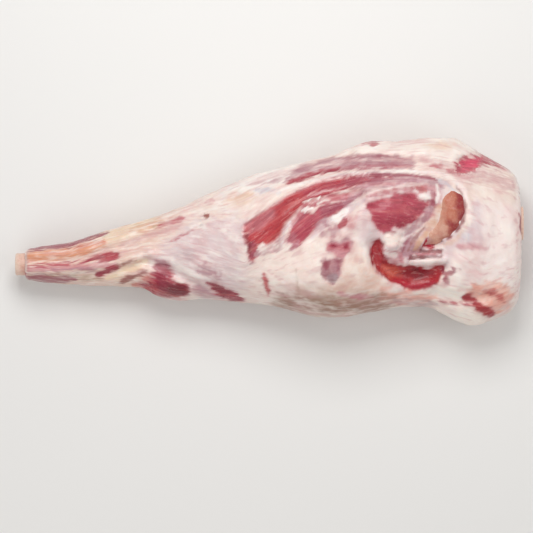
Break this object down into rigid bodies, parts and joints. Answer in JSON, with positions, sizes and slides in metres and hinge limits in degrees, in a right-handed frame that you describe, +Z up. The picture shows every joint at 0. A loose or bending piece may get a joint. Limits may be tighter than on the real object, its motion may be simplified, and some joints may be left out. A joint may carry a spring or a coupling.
{
  "type": "raw leg of lamb",
  "caption": "Raw bone-in leg of lamb lying flat, inner side up: long tapered thigh and shank with fat cover, open muscle and sawn bones.",
  "frame": {"origin": "on the flat resting face, under the middle of the meat's length", "axes": "+X from the sawn shank towards the chump end, +Z up out of the inner side of the leg, +Y towards the front edge with the thin fat flap"},
  "size_m": [0.4615, 0.1701, 0.0917],
  "materials": {
    "raw_meat": "moist raw meat with a cream fat cover",
    "sawn_bone": "sawn bone, moist"
  },
  "bodies": {
    "root": {"leg_meat": "raw_meat", "hip_bone": "sawn_bone", "shank_bone": "sawn_bone", "chump_bone": "sawn_bone"}
  },
  "joints": []
}
